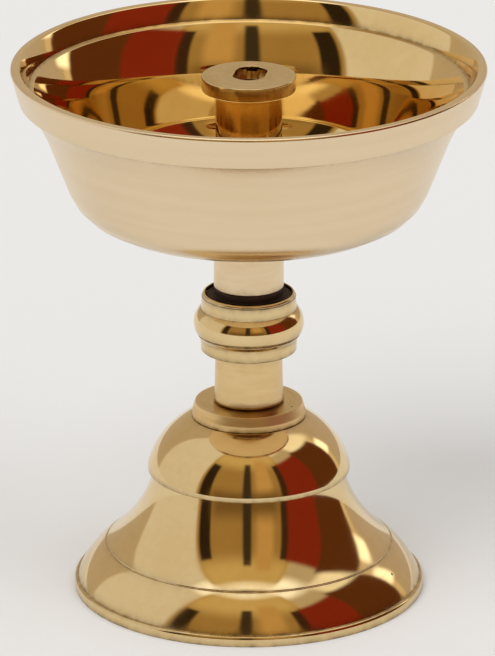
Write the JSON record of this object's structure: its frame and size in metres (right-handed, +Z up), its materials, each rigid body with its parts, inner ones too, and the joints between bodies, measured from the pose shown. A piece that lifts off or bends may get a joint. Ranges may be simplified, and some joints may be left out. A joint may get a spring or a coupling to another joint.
{
  "type": "butter lamp",
  "caption": "Footed brass butter lamp: a wide bowl with a central wick holder, screwed onto a stand of turned stem, knop, dome and flared skirt held by a tie rod.",
  "frame": {"origin": "on the floor, at the centre of the foot, on the lamp's axis", "axes": "+Z up along the lamp's axis; the picture looks along +Y, with +X to the right"},
  "size_m": [0.1, 0.1, 0.1163],
  "materials": {
    "polished_brass": "polished",
    "satin_brass": "satin, turned",
    "bowl_brass": "satin outside, polished inside",
    "holder_brass": "polished, turned top",
    "dark_leather": "oiled",
    "plain_steel": "zinc plated"
  },
  "bodies": {
    "stand": {"base_skirt": "polished_brass", "base_dome": "polished_brass", "base_collar": "satin_brass", "lower_stem": "satin_brass", "knop": "polished_brass", "tie_rod": "plain_steel", "clamp_washer": "plain_steel", "clamp_nut": "plain_steel"},
    "gasket": {"seat_gasket": "dark_leather"},
    "bowl_unit": {"bowl": "bowl_brass", "upper_stem": "satin_brass"},
    "seal": {"bowl_seal": "dark_leather"},
    "holder": {"wick_holder": "holder_brass"}
  },
  "joints": [
    {"name": "bowl_turn", "type": "hinge", "parent": "stand", "child": "gasket", "pos_m": [0, 0, 0.0674], "axis": [0, 0, 1], "range_deg": [0, 1440]},
    {"name": "bowl_rise", "type": "slide", "parent": "gasket", "child": "bowl_unit", "axis": [0, 0, 1], "range_m": [0, 0.005]},
    {"name": "holder_turn", "type": "hinge", "parent": "bowl_unit", "child": "seal", "pos_m": [0, 0, 0.0803], "axis": [0, 0, 1], "range_deg": [0, 1440]},
    {"name": "holder_rise", "type": "slide", "parent": "seal", "child": "holder", "axis": [0, 0, 1], "range_m": [0, 0.005]}
  ],
  "couplings": [
    {"joint": "bowl_turn", "follows": "bowl_rise", "rad_per_m": 5026.5},
    {"joint": "holder_turn", "follows": "holder_rise", "rad_per_m": 5026.5}
  ]
}
